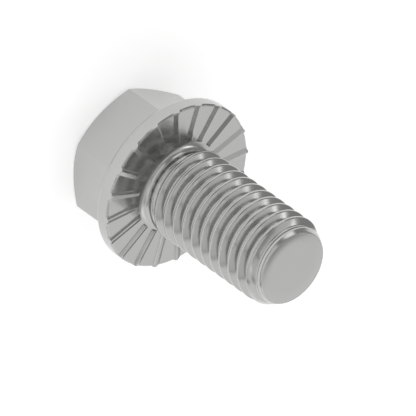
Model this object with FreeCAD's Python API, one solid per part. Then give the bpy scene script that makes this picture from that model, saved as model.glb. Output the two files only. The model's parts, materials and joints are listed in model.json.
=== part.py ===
import FreeCAD, Part
import math
import os

# A hexagon flange bolt with a ridged bearing face: one solid piece of steel, with a full-length
# right-hand thread. The origin is the centre of the bearing face. +Z runs along the shank to its
# chamfered end. +X points at a corner of the hexagon and along one ridge. Sizes are in mm.

# Thread: metric coarse, crests and roots cut back as its tolerance allows
THREAD_PITCH = 2.0
THREAD_ANGLE = 60.0
CREST_RADIUS = 6.93
CREST_FLAT = 0.38
THREAD_DEPTH = 1.05
CREST_SECTORS = 8

# Shank
SHANK_LENGTH = 25.25
NECK_HEIGHT = 1.03
NECK_RELIEF = 0.12
NECK_FLARE = 1.24
FLARE_CONES = 3
THREAD_START_ANGLE = 45.0
END_FLAT_RADIUS = 5.65
END_CHAMFER_ANGLE = 30.0

# Flange
RIM_RADIUS = 12.9
RIM_THICKNESS = 2.3
RIM_FRONT_CHAMFER = 0.22
RIM_BACK_CHAMFER = 0.35
SKIRT_ANGLE = 25.0

# Ridges on the bearing face: a gentle side that leads as the bolt turns tight, and a steep one behind
RIDGE_COUNT = 20
RIDGE_HEIGHT = 0.25
RIDGE_CREST_FLAT = 0.28
RIDGE_GENTLE_SIDE = 0.66
RIDGE_STEEP_SIDE = 0.2
RIDGE_INNER_GAP = 0.15

# Hexagon
HEAD_HEIGHT = 11.8
ACROSS_FLATS = 18.7
TOP_FLAT_DIAMETER = 17.8
TOP_CHAMFER_ANGLE = 30.0

# How far a cutting or joining shape reaches past the surface that it meets
OVERRUN = 0.05

ORIGIN = FreeCAD.Vector(0, 0, 0)
AXIS = FreeCAD.Vector(0, 0, 1)


def tan_deg(angle):
    return math.tan(math.radians(angle))


def groove_half(radius):
    """Half the width of the thread's groove at a radius."""
    half_at_crest = (THREAD_PITCH - CREST_FLAT) / 2
    return half_at_crest + (radius - CREST_RADIUS) * tan_deg(THREAD_ANGLE / 2)


ROOT_RADIUS = CREST_RADIUS - THREAD_DEPTH
NECK_RADIUS = ROOT_RADIUS - NECK_RELIEF
FACE_INNER_RADIUS = NECK_RADIUS + NECK_FLARE
FACE_OUTER_RADIUS = RIM_RADIUS - RIM_FRONT_CHAMFER
THREAD_START = NECK_HEIGHT + (CREST_RADIUS - NECK_RADIUS) / tan_deg(THREAD_START_ANGLE)
THREAD_END = SHANK_LENGTH - (CREST_RADIUS - END_FLAT_RADIUS) / tan_deg(END_CHAMFER_ANGLE)
GROOVE_START = groove_half(CREST_RADIUS + OVERRUN) + OVERRUN
CORNER_RADIUS = ACROSS_FLATS / 2 / math.cos(math.pi / 6)


def at(radius, height, angle=0.0):
    """The point at a radius and height, with its angle about the axis in degrees."""
    turn = math.radians(angle)
    return FreeCAD.Vector(radius * math.cos(turn), radius * math.sin(turn), height)


def closed_wire(points):
    return Part.makePolygon(points + points[:1])


def turned(points):
    """The solid that a closed outline in the XZ plane sweeps round the axis."""
    return Part.Face(closed_wire(points)).revolve(ORIGIN, AXIS, 360)


def neck():
    """The neck's fillet, in short cones up from the bearing face, and the cone up to the crests."""
    fillet = []
    for i in range(FLARE_CONES + 1):
        turn = math.radians(90 * i / FLARE_CONES)
        radius = FACE_INNER_RADIUS - NECK_FLARE * math.sin(turn)
        fillet.append(at(radius, NECK_HEIGHT * (1 - math.cos(turn))))
    return turned(fillet + [
        at(CREST_RADIUS, THREAD_START),
        at(0, THREAD_START),
        at(0, -OVERRUN),
        at(FACE_INNER_RADIUS, -OVERRUN),
    ])


def crest_cylinder():
    """The cylinder of the crests, in equal sectors, which keep each stretch of crest short."""
    step = 360 / CREST_SECTORS
    height = THREAD_END - THREAD_START
    sector = Part.makeCylinder(CREST_RADIUS, height, at(0, THREAD_START), AXIS, step)
    sectors = [sector.copy().rotate(ORIGIN, AXIS, step * i) for i in range(CREST_SECTORS)]
    return sectors[0].fuse(sectors[1:])


def chamfered_end():
    return turned([
        at(0, THREAD_END),
        at(CREST_RADIUS, THREAD_END),
        at(END_FLAT_RADIUS, SHANK_LENGTH),
        at(0, SHANK_LENGTH),
    ])


def groove_turn():
    """One turn of the thread's V groove, up from the plane of the bearing face, with a flat root."""
    deep = ROOT_RADIUS - OVERRUN
    wide = CREST_RADIUS + OVERRUN
    section = closed_wire([
        at(deep, -groove_half(deep)),
        at(wide, -groove_half(wide)),
        at(wide, groove_half(wide)),
        at(deep, groove_half(deep)),
    ])
    path = Part.Wire(Part.makeHelix(THREAD_PITCH, THREAD_PITCH, CREST_RADIUS).Edges)
    groove = path.makePipeShell([section], True, True)
    if groove.Volume < 0:
        groove.reverse()
    core = Part.makeCylinder(ROOT_RADIUS, 3 * THREAD_PITCH, at(0, -THREAD_PITCH), AXIS)
    return groove.cut(core).Solids[0]


def shank():
    """The neck, the threaded stretch and the chamfered end. The groove starts clear of the metal."""
    blank = neck().fuse([crest_cylinder(), chamfered_end()])
    turn = groove_turn()
    for i in range(math.ceil((SHANK_LENGTH - GROOVE_START) / THREAD_PITCH)):
        blank = blank.cut(turn.translated(at(0, GROOVE_START + i * THREAD_PITCH)))
    return blank


def flange():
    """The rim with its two broken edges, and the skirt that rises to the hexagon."""
    slope = tan_deg(SKIRT_ANGLE)
    back = -RIM_THICKNESS
    return turned([
        at(0, 0),
        at(FACE_OUTER_RADIUS, 0),
        at(RIM_RADIUS, -RIM_FRONT_CHAMFER),
        at(RIM_RADIUS, back + RIM_BACK_CHAMFER),
        at(RIM_RADIUS - RIM_BACK_CHAMFER, back - RIM_BACK_CHAMFER * slope),
        at(0, back - RIM_RADIUS * slope),
    ])


def hexagon():
    """The hexagon prism, with its top corners taken off by a cone."""
    base = closed_wire([at(CORNER_RADIUS, -HEAD_HEIGHT, 60 * i) for i in range(6)])
    prism = Part.Face(base).extrude(at(0, HEAD_HEIGHT - RIM_THICKNESS))
    flat = TOP_FLAT_DIAMETER / 2
    wide = CORNER_RADIUS + OVERRUN
    return prism.common(turned([
        at(0, -HEAD_HEIGHT),
        at(flat, -HEAD_HEIGHT),
        at(wide, (wide - flat) * tan_deg(TOP_CHAMFER_ANGLE) - HEAD_HEIGHT),
        at(wide, 0),
        at(0, 0),
    ]))


def ridges():
    """The raised ridges of the bearing face, which run out through the rim's edge."""
    inner = FACE_INNER_RADIUS + RIDGE_INNER_GAP
    depth = RIM_FRONT_CHAMFER + OVERRUN
    half_crest = RIDGE_CREST_FLAT / 2
    steep_foot = -half_crest - RIDGE_STEEP_SIDE
    gentle_foot = half_crest + RIDGE_GENTLE_SIDE
    section = closed_wire([
        FreeCAD.Vector(inner, steep_foot, -depth),
        FreeCAD.Vector(inner, steep_foot, 0),
        FreeCAD.Vector(inner, -half_crest, RIDGE_HEIGHT),
        FreeCAD.Vector(inner, half_crest, RIDGE_HEIGHT),
        FreeCAD.Vector(inner, gentle_foot, 0),
        FreeCAD.Vector(inner, gentle_foot, -depth),
    ])
    bar = Part.Face(section).extrude(at(RIM_RADIUS - inner + OVERRUN, 0))
    ridge = bar.common(Part.makeCylinder(RIM_RADIUS, 2 * RIDGE_HEIGHT + depth, at(0, -depth)))
    step = 360 / RIDGE_COUNT
    return [ridge.copy().rotate(ORIGIN, AXIS, step * i) for i in range(RIDGE_COUNT)]


def flange_bolt():
    head = flange().fuse([hexagon()] + ridges()).removeSplitter()
    return head.fuse(shank()).Solids[0]


def main():
    bolt = flange_bolt()
    os.makedirs("parts", exist_ok=True)
    bolt.exportStep("parts/flange_bolt.step")
    print(bolt.ShapeType, bolt.isValid(), len(bolt.Faces), "faces", round(bolt.Volume, 2), "mm3")


main()
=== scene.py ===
import json
import math

import bpy
import numpy as np
from bpy.props import FloatProperty, FloatVectorProperty, PointerProperty
from mathutils import Matrix, Vector


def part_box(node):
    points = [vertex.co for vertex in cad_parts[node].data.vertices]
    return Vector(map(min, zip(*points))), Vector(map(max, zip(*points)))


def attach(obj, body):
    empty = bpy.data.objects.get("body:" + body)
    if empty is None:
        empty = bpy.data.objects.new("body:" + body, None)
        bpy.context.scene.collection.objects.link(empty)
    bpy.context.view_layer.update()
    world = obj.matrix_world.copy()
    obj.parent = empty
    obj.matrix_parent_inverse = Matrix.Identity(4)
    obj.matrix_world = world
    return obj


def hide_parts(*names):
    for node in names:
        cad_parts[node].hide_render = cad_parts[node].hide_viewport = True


bl_info = {
    "name": "Hexagon flange bolt",
    "version": (1, 0, 0),
    "blender": (4, 5, 0),
    "location": "3D View > Sidebar > Flange bolt",
    "description": "A zinc plated flange bolt with a ridged bearing face, on a studio floor",
    "category": "Add Mesh",
}

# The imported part. The bolt's main sizes are read from it, and the rest are written below.
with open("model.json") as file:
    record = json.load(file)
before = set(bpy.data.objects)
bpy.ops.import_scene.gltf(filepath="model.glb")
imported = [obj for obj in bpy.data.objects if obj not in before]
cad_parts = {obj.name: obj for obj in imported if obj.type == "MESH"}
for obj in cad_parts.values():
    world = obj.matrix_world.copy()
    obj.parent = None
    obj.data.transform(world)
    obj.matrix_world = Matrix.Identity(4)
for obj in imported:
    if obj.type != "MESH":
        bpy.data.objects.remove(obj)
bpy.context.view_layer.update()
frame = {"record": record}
NODE = "flange_bolt"
LOW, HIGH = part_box(NODE)
MOUNTS = {mount["name"]: mount for mount in frame["record"]["mounts"]}
MM = 0.001

# How the bolt's mesh is divided: columns round the axis, of which the first ones lie before +X,
# steps of an arc, and rings inside a flat as shares of its radius
RIDGES = 20
RIDGE_COLUMNS = 18
COLUMNS = RIDGES * RIDGE_COLUMNS
COLUMNS_BEFORE_X = 5
CORNER_STEPS = 3
FOOT_STEPS = 2
NECK_FILLET_DEGREES = (75, 60, 45, 30, 15)
SKIRT_SHARES = (0.25, 0.5, 0.75)
FLAT_SHARES = (0.7, 0.35)

# The hexagon: the angle that one side takes up, and where the columns next to a corner stand
HEX_SIDES = 6
SIDE_TURN = math.radians(360 / HEX_SIDES)
NEAR_CORNER_DEGREES = (0, 0.36, 0.72, 1.08, 1.6, 2.5)

# The thread's grid: its first turn, how far the cut groove starts clear of the crests, and how near
# to a ring at its ends a point joins that ring
FIRST_TURN = -2
GROOVE_OVERRUN = 0.05 * MM
JOIN_WITHIN = 0.02 * MM

# A ridge's inner end: distances in roundings of its crest, and shares of its height
RIDGE_END = ((0, 0), (0.3, 0.55), (1, 0.93), (2, 1))

# The bearing face's edge: its width, the level on the rim where the ridges have run out, and the
# level from which the rim is plain
EDGE_WIDTH = 0.5 * MM
RIDGES_OUT = -0.6 * MM
RIM_START = -1.0 * MM

# The plating's cloud: the noise's usual range, and how far the roughness goes below and above
NOISE_RANGE = (0.3, 0.7)
SMOOTHER, ROUGHER = 0.02, 0.03

# The photograph's view: an orthographic camera, rolled about its line of sight
PHOTO_AZIMUTH = -48.616
PHOTO_ELEVATION = 37.724
PHOTO_ROLL = 125.608
PHOTO_WIDTH = 58.491 * MM
PHOTO_AIM = Vector((0.012, -0.014, 6.796)) * MM
CAMERA_DISTANCE = 0.2

# The softboxes: azimuth, elevation, width and height in degrees as the bolt sees them, and
# brightness
LAMP_DISTANCE = 0.5
SOFTBOXES = {
    "wide_softbox": (10, 31, 100, 38, 0.64),
    "top_softbox": (-34, 62, 76, 34, 0.42),
    "zenith_softbox": (-160, 74, 34, 18, 0.5),
    "left_softbox": (-84, 26, 60, 34, 0.55),
    "camera_softbox": (-140, 34, 44, 40, 0.5),
    "side_softbox": (116, 56, 40, 38, 0.42),
    "side_strip": (100, 42, 12, 16, 1.5),
    "low_strip": (156, 14, 30, 14, 1.2),
    "horizon_strip": (-12, 5, 70, 14, 0.65),
}


def millimetres(name, description, default):
    """A length property. Its default is given in millimetres and kept in metres."""
    return FloatProperty(name=name, description=description, default=default * MM, min=0.0,
                         unit="LENGTH", subtype="DISTANCE", precision=5)


def degrees(name, description, default):
    """An angle property. Its default is given in degrees and kept in radians."""
    return FloatProperty(name=name, description=description, default=math.radians(default),
                         unit="ROTATION", subtype="ANGLE")


def linear(hex_colour):
    """An sRGB hex colour as linear red, green and blue."""
    channels = [int(hex_colour[i:i + 2], 16) / 255 for i in (1, 3, 5)]
    return [c / 12.92 if c <= 0.04045 else ((c + 0.055) / 1.055) ** 2.4 for c in channels]


def colour(name, description, hex_colour):
    """A colour property. Its default is given as an sRGB hex colour and kept linear."""
    return FloatVectorProperty(name=name, description=description, size=3, min=0.0, max=1.0,
                               default=linear(hex_colour), subtype="COLOR")


def number(name, description, default):
    """A strength or a brightness, which has no unit and no upper end."""
    return FloatProperty(name=name, description=description, default=default, min=0.0)


class ThreadSizes(bpy.types.PropertyGroup):
    pitch: millimetres("Pitch", "Rise of the thread in one turn", 2.0)
    crest_flat: millimetres("Crest flat", "Width of the flat on a crest", 0.38)
    depth: millimetres("Depth", "From crest to root", 1.05)
    flank: degrees("Flank", "Slope of a flank against the radius", 30.0)
    crest_round: millimetres("Crest rounding", "Rolled edge of a crest", 0.28)
    root_round: millimetres("Root rounding", "Rolled fillet of a root", 0.29)
    cut_round: millimetres("End rounding", "Where the thread meets the cones at its ends", 0.15)


class ShankSizes(bpy.types.PropertyGroup):
    neck_height: millimetres("Neck height", "From the bearing face to the end of its fillet", 1.03)
    neck_relief: millimetres("Neck relief", "How far the neck lies inside the roots", 0.12)
    neck_flare: millimetres("Neck flare", "How far the fillet spreads at the bearing face", 1.24)
    end_flat: millimetres("End flat", "Radius of the flat on the shank's end", 5.65)
    end_chamfer: degrees("End chamfer", "Slope of the end's cone against the axis", 30.0)
    end_round: millimetres("End rounding", "Broken edge of the end flat", 0.12)


class FlangeSizes(bpy.types.PropertyGroup):
    thickness: millimetres("Rim thickness", "From the bearing face to the skirt's level", 2.3)
    front_chamfer: millimetres("Front chamfer", "Broken edge of the bearing face", 0.22)
    front_round: millimetres("Front rounding", "Rounding of the front chamfer's two edges", 0.15)
    back_chamfer: millimetres("Back chamfer", "Broken edge at the rim's back", 0.35)
    back_round: millimetres("Back rounding", "Rounding of the rim's back", 0.55)
    skirt: degrees("Skirt", "Slope of the flange's back", 25.0)
    skirt_round: millimetres("Skirt fillet", "Fillet between the skirt and the hexagon", 0.45)


class RidgeSizes(bpy.types.PropertyGroup):
    height: millimetres("Height", "Height of a ridge over the bearing face", 0.25)
    crest_flat: millimetres("Crest flat", "Width of the flat on a ridge", 0.28)
    gentle_side: millimetres("Gentle side", "Width of the side that leads as it turns tight", 0.66)
    steep_side: millimetres("Steep side", "Width of the side behind the crest", 0.2)
    inner_gap: millimetres("Inner gap", "From the neck's fillet to the ridges", 0.15)
    crest_round: millimetres("Crest rounding", "Rounding of the two edges of a ridge's crest", 0.06)
    foot_round: millimetres("Foot fillet", "Fillet along the foot of a ridge", 0.1)


class HexagonSizes(bpy.types.PropertyGroup):
    across_flats: millimetres("Across flats", "Width between two opposite flats", 18.7)
    top_flat: millimetres("Top flat", "Radius of the flat top", 8.9)
    top_chamfer: degrees("Top chamfer", "Slope of the chamfer against the top", 30.0)
    corner_round: millimetres("Corner rounding", "Rounding of the six upright edges", 0.35)
    chamfer_round: millimetres("Chamfer rounding", "Rounding of the chamfer's outer edge", 0.14)
    top_round: millimetres("Top rounding", "Rounding of the top's edge", 0.3)


class SteelFinish(bpy.types.PropertyGroup):
    zinc: colour("Zinc", "Colour of the plating", "#BDBDBC")
    zinc_shade: colour("Zinc shade", "Colour of the plating where it lies thinner", "#B6B6B5")
    roughness: FloatProperty(name="Roughness", description="Of the plating's even stretches",
                             default=0.19, min=0.0, max=1.0)
    patch: millimetres("Patches", "Width of the patches in the plating's tone and gloss", 8.0)
    lines: millimetres("Lines", "Spacing of the fine lines round the shank and the head", 0.3)
    line_depth: millimetres("Line depth", "Depth of the fine lines", 0.01)
    line_strength: number("Line strength", "How strongly the fine lines tilt the surface", 0.3)


class StudioLook(bpy.types.PropertyGroup):
    floor: colour("Floor", "Colour of the floor", "#F4F4F4")
    glow: number("Glow", "Brightness that the floor adds for the camera and the metal", 0.46)
    sky: number("Sky", "Strength of the room's even light", 0.34)
    floor_size: millimetres("Floor size", "Width of the square floor", 900.0)


def rounded(corners, radii, steps=CORNER_STEPS):
    """The points of an open outline, each of whose inner corners becomes an arc of equal steps."""
    corners = [np.array(corner, float) for corner in corners]
    steps = [steps] * len(radii) if isinstance(steps, int) else steps
    points = [corners[0]]
    triples = zip(corners, corners[1:], corners[2:])
    for (before, corner, after), radius, count in zip(triples, radii, steps):
        back = (before - corner) / np.linalg.norm(before - corner)
        on = (after - corner) / np.linalg.norm(after - corner)
        half = math.acos(np.clip(back @ on, -1, 1)) / 2
        turn = math.pi - 2 * half
        middle = (back + on) / np.linalg.norm(back + on)
        centre = corner + middle * radius / math.sin(half)
        start = corner + back * radius / math.tan(half) - centre
        end = corner + on * radius / math.tan(half) - centre
        for i in range(count + 1):
            share = i / count
            spoke = start * math.sin((1 - share) * turn) + end * math.sin(share * turn)
            points.append(centre + spoke / math.sin(turn))
    return points + [corners[-1]]


def soft_min(a, b, width):
    """The lesser of two values, with a rounded change-over of a given width."""
    near = max(width - abs(a - b), 0.0) / width
    return min(a, b) - near * near * width / 4


def ring(radius, height, angle):
    """One row of points round the axis. Each of the three is a number or one number a column."""
    radius, height, angle = np.broadcast_arrays(radius, height, angle)
    return np.stack([radius * np.cos(angle), radius * np.sin(angle), height], axis=1)


def even_angles():
    """The columns' angles where nothing but the axis guides them."""
    return (np.arange(COLUMNS) - COLUMNS_BEFORE_X) * 2 * math.pi / COLUMNS


class Ridges:
    """The ridges' section as columns of the bolt's mesh, and the columns from ridge to ridge."""

    def __init__(self, sizes):
        half_crest = sizes.crest_flat / 2
        steep, gentle = half_crest + sizes.steep_side, half_crest + sizes.gentle_side
        section = rounded(
            [(-2 * steep, 0), (-steep, 0), (-half_crest, sizes.height),
             (half_crest, sizes.height), (gentle, 0), (2 * gentle, 0)],
            [sizes.foot_round, sizes.crest_round, sizes.crest_round, sizes.foot_round],
            [FOOT_STEPS, CORNER_STEPS, CORNER_STEPS, FOOT_STEPS])
        self.offset, self.height = np.array(section[1:-1]).T
        self.between = RIDGE_COLUMNS - len(self.offset)

    def angles(self, radius):
        """The columns' angles on a circle, where they follow the straight edges of the ridges."""
        pitch = 2 * math.pi / RIDGES
        on_ridge = np.arcsin(self.offset / radius)
        between = np.linspace(on_ridge[-1], on_ridge[0] + pitch, self.between + 2)[1:-1]
        one = np.concatenate([on_ridge, between])
        return np.tile(one, RIDGES) + np.repeat(np.arange(RIDGES) * pitch, RIDGE_COLUMNS)

    def heights(self):
        """The columns' heights over the bearing face."""
        return np.tile(np.concatenate([self.height, np.zeros(self.between)]), RIDGES)

    def presence(self):
        """1 on a ridge, 0 between ridges, and less than 1 over the fillets at its feet."""
        inside = np.minimum(self.offset - self.offset[0], self.offset[-1] - self.offset)
        on_ridge = np.clip(inside / (self.offset[FOOT_STEPS] - self.offset[0]), 0, 1)
        return np.tile(np.concatenate([on_ridge, np.zeros(self.between)]), RIDGES)


def hexagon_angles():
    """The columns' angles round the hexagon, close together at its six corners."""
    near = np.radians(NEAR_CORNER_DEGREES)
    half = COLUMNS // HEX_SIDES // 2
    rest = np.linspace(near[-1], SIDE_TURN / 2, half - len(near) + 2)[1:]
    side = np.concatenate([near, rest])
    one = np.concatenate([side, SIDE_TURN - side[-2:0:-1]])
    angles = np.concatenate([one + SIDE_TURN * i for i in range(HEX_SIDES)])
    return np.concatenate([angles[-COLUMNS_BEFORE_X:] - 2 * math.pi, angles[:-COLUMNS_BEFORE_X]])


def hexagon_radius(angle, sizes):
    """How far the hexagon's side lies from the axis at an angle, with its corners rounded."""
    half_side = SIDE_TURN / 2
    apothem, rounding = sizes.across_flats / 2, sizes.corner_round
    from_corner = abs((angle + half_side) % SIDE_TURN - half_side)
    centre = (apothem - rounding) / math.cos(half_side)
    tangent = half_side - math.atan((apothem - rounding) * math.tan(half_side) / apothem)
    if from_corner < tangent:
        across = centre * math.sin(from_corner)
        return centre * math.cos(from_corner) + math.sqrt(rounding ** 2 - across ** 2)
    return apothem / math.cos(half_side - from_corner)


class BoltMesh:
    """The bolt's closed mesh: a helical grid on the shank, and rows round the axis on the rest."""

    def __init__(self, scene):
        self.thread, self.shank = scene.bolt_thread, scene.bolt_shank
        self.flange, self.hexagon = scene.bolt_flange, scene.bolt_hexagon
        self.ridge_sizes, self.ridges = scene.bolt_ridges, Ridges(scene.bolt_ridges)
        self.crest = MOUNTS["thread"]["dims"]["r_mm"] * MM
        self.root = self.crest - self.thread.depth
        self.neck = self.root - self.shank.neck_relief
        self.rim, self.end, self.top = HIGH.x, HIGH.z, LOW.z
        self.face_inner = self.neck + self.shank.neck_flare
        self.half_groove = (self.thread.pitch - self.thread.crest_flat) / 2
        self.grid_top = self.end - 1.5 * self.shank.end_round
        self.end_slope = math.tan(self.shank.end_chamfer)
        self.skirt_slope = math.tan(self.flange.skirt)
        self.points, self.faces = [], []

    def end_cone(self, height):
        """The radius of the end's chamfer at a height."""
        return self.shank.end_flat + (self.end - height) * self.end_slope

    def skirt_level(self, inward):
        """The level of the flange's back at a distance in from the rim."""
        return -self.flange.thickness - inward * self.skirt_slope

    def add_row(self, row):
        """New points round the axis, and their numbers."""
        first = len(self.points)
        self.points.extend(row)
        return list(range(first, first + COLUMNS))

    def join_rows(self, lower, upper):
        """Faces between two rows."""
        for i in range(COLUMNS):
            j = (i + 1) % COLUMNS
            self.faces.append((lower[i], lower[j], upper[j], upper[i]))

    def add_rows(self, row, rows, upward):
        """Rows that go on from one that is there, up or down the axis."""
        for points in rows:
            following = self.add_row(points)
            self.join_rows(row, following) if upward else self.join_rows(following, row)
            row = following
        return row

    def close(self, row, height, upward):
        """The pole in the middle of a flat end."""
        pole = len(self.points)
        self.points.append((0.0, 0.0, height))
        for i in range(COLUMNS):
            j = (i + 1) % COLUMNS
            self.faces.append((row[i], row[j], pole) if upward else (row[j], row[i], pole))

    def thread_section(self):
        """One pitch of the thread: distances along the axis from the groove's middle, and radii."""
        pitch, half_crest = self.thread.pitch, self.half_groove
        half_root = half_crest - self.thread.depth * math.tan(self.thread.flank)
        return rounded(
            [(-pitch / 4, self.root), (half_root, self.root), (half_crest, self.crest),
             (pitch - half_crest, self.crest), (pitch - half_root, self.root),
             (pitch * 5 / 4, self.root)],
            [self.thread.root_round, self.thread.crest_round, self.thread.crest_round,
             self.thread.root_round])[1:-1]

    def shank_grid(self):
        """The threaded stretch. Its rows climb with the thread, and stop at a ring at each end."""
        section, pitch = self.thread_section(), self.thread.pitch
        overrun = GROOVE_OVERRUN * math.tan(self.thread.flank)
        groove_start = self.half_groove + overrun + GROOVE_OVERRUN
        turns = math.ceil((self.end - groove_start) / pitch) - FIRST_TURN + 1
        low, high = self.shank.neck_height, self.grid_top
        bottom = self.add_row(ring(self.neck, low, even_angles()))
        top = self.add_row(ring(self.end_cone(high), high, even_angles()))
        grid = []
        for i, angle in enumerate(even_angles()):
            column = []
            for k in range(turns * len(section)):
                along, radius = section[k % len(section)]
                turn = FIRST_TURN + k // len(section) + angle / (2 * math.pi)
                z = groove_start + along + pitch * turn
                if z < low + JOIN_WITHIN:
                    column.append(bottom[i])
                elif z > high - JOIN_WITHIN:
                    column.append(top[i])
                else:
                    radius = soft_min(radius, self.neck + z - low, self.thread.cut_round)
                    radius = soft_min(radius, self.end_cone(z), self.thread.cut_round)
                    column.append(len(self.points))
                    self.points.append((radius * math.cos(angle), radius * math.sin(angle), z))
            grid.append(column)
        grid.append(grid[0][len(section):])
        for left, right in zip(grid, grid[1:]):
            for k in range(len(right) - 1):
                corners = dict.fromkeys((left[k], right[k], right[k + 1], left[k + 1]))
                if len(corners) > 2:
                    self.faces.append(tuple(corners))
        return bottom, top

    def end_rows(self, top):
        """The end flat with its broken edge."""
        flat = self.shank.end_flat
        outline = rounded(
            [(self.end_cone(self.grid_top), self.grid_top), (flat, self.end), (0, self.end)],
            [self.shank.end_round])[1:-1]
        rows = [ring(radius, z, even_angles()) for radius, z in outline]
        rows += [ring(flat * share, self.end, even_angles()) for share in FLAT_SHARES]
        self.close(self.add_rows(top, rows, True), self.end, True)

    def neck_rows(self):
        """The fillet from the neck down to the bearing face."""
        rows = []
        for turn in np.radians(NECK_FILLET_DEGREES):
            radius = self.face_inner - self.shank.neck_flare * math.sin(turn)
            height = self.shank.neck_height * (1 - math.cos(turn))
            rows.append(ring(radius, height, even_angles()))
        return rows + [ring(self.face_inner, 0, self.ridges.angles(self.face_inner))]

    def bearing_rows(self):
        """The bearing face with its ridges, out to where its edge begins."""
        start = self.face_inner + self.ridge_sizes.inner_gap
        outer = self.rim - EDGE_WIDTH
        heights, step = self.ridges.heights(), self.ridge_sizes.crest_round
        places = [(start + distance * step, share) for distance, share in RIDGE_END]
        places += [((start + outer) / 2, 1), (outer, 1)]
        return [ring(radius, heights * share, self.ridges.angles(radius))
                for radius, share in places]

    def edge_rows(self):
        """The broken edge of the bearing face, through which the ridges run out to the rim."""
        rim, chamfer, tip = self.rim, self.flange.front_chamfer, self.ridge_sizes.crest_round
        plain = rounded([(rim - EDGE_WIDTH, 0), (rim - chamfer, 0), (rim, -chamfer),
                         (rim, RIDGES_OUT)], [self.flange.front_round] * 2)[1:-1]
        half = len(plain) // 2
        presence, heights = self.ridges.presence(), self.ridges.heights()
        angles = self.ridges.angles(rim)
        rows = []
        for k, (radius, z) in enumerate(plain):
            turn = math.radians(90) * min(k / (half - 1), 1)
            ridge_radius = rim - tip + tip * math.sin(turn)
            tip_height = heights - tip + tip * math.cos(turn)
            sink = max(k - half + 1, 0) / half
            ridge_height = tip_height * (1 - sink) + plain[-1][1] * sink
            rows.append(ring(radius + (ridge_radius - radius) * presence,
                             z + (ridge_height - z) * presence, angles))
        return rows + [ring(rim, RIDGES_OUT, angles)]

    def back_rows(self):
        """The rim, its rounded back and the skirt, as far as the hexagon's fillet."""
        chamfer = self.flange.back_chamfer
        outline = rounded(
            [(self.rim, RIM_START), (self.rim, -self.flange.thickness + chamfer),
             (self.rim - chamfer, self.skirt_level(chamfer)), (0, self.skirt_level(self.rim))],
            [self.flange.back_round] * 2)[:-1]
        return [ring(radius, z, even_angles()) for radius, z in outline]

    def hexagon_outline(self, angle):
        """The outline of the skirt's fillet, the side, the chamfer and the top, in one column."""
        chamfer, flat = self.flange.back_chamfer, self.hexagon.top_flat
        side = hexagon_radius(angle, self.hexagon)
        chamfer_end = self.top + (side - flat) * math.tan(self.hexagon.top_chamfer)
        return rounded(
            [(self.rim - chamfer, self.skirt_level(chamfer)),
             (side, self.skirt_level(self.rim - side)), (side, chamfer_end),
             (flat, self.top), (0, self.top)],
            [self.flange.skirt_round, self.hexagon.chamfer_round, self.hexagon.top_round])[1:-1]

    def hexagon_rows(self, last_back):
        """The rest of the skirt, where the columns close up to the corners, and the hexagon."""
        even, angles = even_angles(), hexagon_angles()
        outlines = np.array([self.hexagon_outline(angle) for angle in angles])
        radius, height = np.linalg.norm(last_back[:, :2], axis=1), last_back[:, 2]
        foot_radius, foot_height = outlines[:, 0, 0], outlines[:, 0, 1]
        rows = [ring(radius + (foot_radius - radius) * share,
                     height + (foot_height - height) * share,
                     even + (angles - even) * share) for share in SKIRT_SHARES]
        rows += [ring(outlines[:, k, 0], outlines[:, k, 1], angles)
                 for k in range(outlines.shape[1])]
        return rows + [ring(self.hexagon.top_flat * share, self.top, angles)
                       for share in FLAT_SHARES]

    def build(self):
        """The mesh, from the shank's grid up to its end and down to the hexagon's top."""
        bottom, top = self.shank_grid()
        self.end_rows(top)
        back = self.back_rows()
        rows = self.neck_rows() + self.bearing_rows() + self.edge_rows() + back
        rows += self.hexagon_rows(back[-1])
        self.close(self.add_rows(bottom, rows, False), self.top, False)
        mesh = bpy.data.meshes.new("flange_bolt_plated")
        mesh.from_pydata([tuple(point) for point in self.points], [], self.faces)
        mesh.shade_smooth()
        return mesh


def add_node(tree, kind, settings=(), inputs=(), links=()):
    """A node with its settings, the values of its inputs, and what feeds them."""
    node = tree.nodes.new(kind)
    for name, value in dict(settings).items():
        setattr(node, name, value)
    for name, value in dict(inputs).items():
        node.inputs[name].default_value = value
    for name, source in dict(links).items():
        tree.links.new(source, node.inputs[name])
    return node


def zinc_plated_steel(finish):
    """Bright zinc plated steel, cold formed and thread rolled.

    Forming dies and rolls leave the surface smooth, and the thin plating follows it, so it has even
    satin reflections with a slight cloud. The rolls leave faint lines round it, which are drawn
    coarser than the real ones, so that they show at the photo's size.
    """
    material = bpy.data.materials.new("zinc_plated_steel")
    material.use_nodes = True
    tree = material.node_tree
    shader = tree.nodes["Principled BSDF"]
    place = add_node(tree, "ShaderNodeTexCoord").outputs["Object"]
    patches = add_node(tree, "ShaderNodeTexNoise", {}, {"Scale": 1 / finish.patch, "Detail": 2.0},
                       {"Vector": place}).outputs["Fac"]
    tint = add_node(tree, "ShaderNodeMix", {"data_type": "RGBA"},
                    {"A": (*finish.zinc_shade, 1), "B": (*finish.zinc, 1)}, {"Factor": patches})
    spread = add_node(tree, "ShaderNodeMapRange", {},
                      {"From Min": NOISE_RANGE[0], "From Max": NOISE_RANGE[1],
                       "To Min": finish.roughness - SMOOTHER,
                       "To Max": finish.roughness + ROUGHER}, {"Value": patches})
    along = add_node(tree, "ShaderNodeSeparateXYZ", links={"Vector": place}).outputs["Z"]
    lines = add_node(tree, "ShaderNodeTexNoise", {"noise_dimensions": "1D"},
                     {"Scale": 1 / finish.lines, "Detail": 2.0, "Roughness": 0.6},
                     {"W": along}).outputs["Fac"]
    rolled = add_node(tree, "ShaderNodeBump", {},
                      {"Strength": finish.line_strength, "Distance": finish.line_depth},
                      {"Height": lines})
    shader.inputs["Metallic"].default_value = 1.0
    tree.links.new(tint.outputs["Result"], shader.inputs["Base Color"])
    tree.links.new(spread.outputs["Result"], shader.inputs["Roughness"])
    tree.links.new(rolled.outputs["Normal"], shader.inputs["Normal"])
    return material


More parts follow.
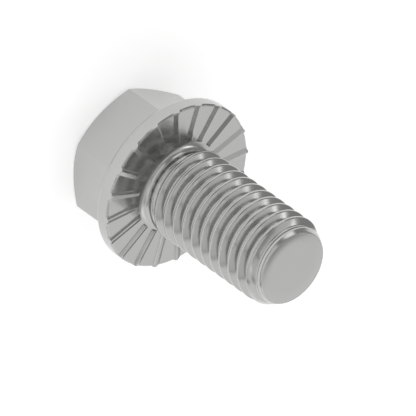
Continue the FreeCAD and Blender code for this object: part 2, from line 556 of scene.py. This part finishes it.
def show(data, name):
    """A new object in the scene, with a mesh, a lamp or a camera as its data."""
    item = bpy.data.objects.new(name, data)
    bpy.context.scene.collection.objects.link(item)
    return item


class MESH_OT_flange_bolt(bpy.types.Operator):
    """Adds the plated bolt, which stands for the plain solid of the frame"""
    bl_idname = "mesh.flange_bolt"
    bl_label = "Flange bolt"

    def execute(self, context):
        mesh = BoltMesh(context.scene).build()
        mesh.materials.append(zinc_plated_steel(context.scene.steel_finish))
        bolt = show(mesh, "flange_bolt_plated")
        shading = bolt.modifiers.new("Even shading of flats", "WEIGHTED_NORMAL")
        shading.weight = 100
        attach(bolt, "root")
        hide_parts(NODE)
        return {"FINISHED"}


def floor_paper(look):
    """Matt white background paper, which the camera and the metal see brighter than it is lit."""
    material = bpy.data.materials.new("white_background_paper")
    material.use_nodes = True
    tree = material.node_tree
    shader = tree.nodes["Principled BSDF"]
    shader.inputs["Base Color"].default_value = (*look.floor, 1)
    shader.inputs["Roughness"].default_value = 0.9
    shader.inputs["Specular IOR Level"].default_value = 0.1
    path = add_node(tree, "ShaderNodeLightPath").outputs
    seen = add_node(tree, "ShaderNodeMath", {"operation": "MAXIMUM"},
                    links={0: path["Is Camera Ray"], 1: path["Is Glossy Ray"]})
    glow = add_node(tree, "ShaderNodeMath", {"operation": "MULTIPLY"}, {1: look.glow},
                    {0: seen.outputs["Value"]})
    shader.inputs["Emission Color"].default_value = (1, 1, 1, 1)
    tree.links.new(glow.outputs["Value"], shader.inputs["Emission Strength"])
    return material


class SCENE_OT_bolt_studio(bpy.types.Operator):
    """Adds the floor, the lamps, the room's light and the camera of the photograph"""
    bl_idname = "scene.bolt_studio"
    bl_label = "Studio"

    def add_floor(self, look):
        """A square sheet of paper under the bolt's flat top, on which it stands."""
        half = look.floor_size / 2
        mesh = bpy.data.meshes.new("floor")
        corners = [(x * half, y * half, LOW.z) for x, y in ((-1, -1), (1, -1), (1, 1), (-1, 1))]
        mesh.from_pydata(corners, [], [(0, 1, 2, 3)])
        mesh.materials.append(floor_paper(look))
        show(mesh, "floor")

    def add_room(self, scene, look):
        """The even white light of the room."""
        world = bpy.data.worlds.new("studio")
        world.use_nodes = True
        world.node_tree.nodes["Background"].inputs["Strength"].default_value = look.sky
        world.node_tree.nodes["Background"].inputs["Color"].default_value = (1, 1, 1, 1)
        scene.world = world

    def add_lamps(self):
        """The softboxes, as area lamps. The metal mirrors them as bright patches of their size."""
        for name, (azimuth, elevation, width, height, brightness) in SOFTBOXES.items():
            data = bpy.data.lights.new(name, "AREA")
            data.shape = "RECTANGLE"
            data.size = 2 * LAMP_DISTANCE * math.tan(math.radians(width / 2))
            data.size_y = 2 * LAMP_DISTANCE * math.tan(math.radians(height / 2))
            data.energy = brightness * math.pi * data.size * data.size_y
            lamp = show(data, name)
            turn = (Matrix.Rotation(math.radians(azimuth + 90), 4, "Z")
                    @ Matrix.Rotation(math.radians(90 - elevation), 4, "X"))
            lamp.matrix_world = Matrix.Translation(turn @ Vector((0, 0, LAMP_DISTANCE))) @ turn

    def add_camera(self, scene):
        """The photograph's camera."""
        data = bpy.data.cameras.new("photo_view")
        data.type = "ORTHO"
        data.ortho_scale = PHOTO_WIDTH
        data.clip_start, data.clip_end = 0.01, 2.0
        camera = show(data, "photo_view")
        turn = (Matrix.Rotation(math.radians(PHOTO_AZIMUTH), 4, "Z")
                @ Matrix.Rotation(math.radians(90 - PHOTO_ELEVATION), 4, "X")
                @ Matrix.Rotation(math.radians(PHOTO_ROLL), 4, "Z"))
        back = turn @ Vector((0, 0, CAMERA_DISTANCE))
        camera.matrix_world = Matrix.Translation(PHOTO_AIM + back) @ turn
        scene.camera = camera

    def execute(self, context):
        scene = context.scene
        look = scene.studio_look
        scene.view_settings.view_transform = "Standard"
        self.add_floor(look)
        self.add_room(scene, look)
        self.add_lamps()
        self.add_camera(scene)
        return {"FINISHED"}


class VIEW3D_PT_flange_bolt(bpy.types.Panel):
    """Lists the sizes and looks, and what the add-on adds"""
    bl_idname = "VIEW3D_PT_flange_bolt"
    bl_label = "Flange bolt"
    bl_space_type = "VIEW_3D"
    bl_region_type = "UI"
    bl_category = "Flange bolt"

    def draw(self, context):
        for name, (group, label) in SETTINGS.items():
            box = self.layout.box()
            box.label(text=label)
            for key in group.__annotations__:
                box.prop(getattr(context.scene, name), key)
        self.layout.operator(MESH_OT_flange_bolt.bl_idname)
        self.layout.operator(SCENE_OT_bolt_studio.bl_idname)


# Where the scene keeps each group of settings, and its heading in the panel
SETTINGS = {
    "bolt_thread": (ThreadSizes, "Thread"),
    "bolt_shank": (ShankSizes, "Shank"),
    "bolt_flange": (FlangeSizes, "Flange"),
    "bolt_ridges": (RidgeSizes, "Ridges"),
    "bolt_hexagon": (HexagonSizes, "Hexagon"),
    "steel_finish": (SteelFinish, "Steel"),
    "studio_look": (StudioLook, "Studio"),
}
CLASSES = [group for group, label in SETTINGS.values()]
CLASSES += [MESH_OT_flange_bolt, SCENE_OT_bolt_studio, VIEW3D_PT_flange_bolt]


def register():
    for item in CLASSES:
        bpy.utils.register_class(item)
    for name, (group, label) in SETTINGS.items():
        setattr(bpy.types.Scene, name, PointerProperty(type=group))


def unregister():
    for name in SETTINGS:
        delattr(bpy.types.Scene, name)
    for item in reversed(CLASSES):
        bpy.utils.unregister_class(item)


def main():
    register()
    bpy.ops.mesh.flange_bolt()
    bpy.ops.scene.bolt_studio()


if __name__ == "__main__":
    main()
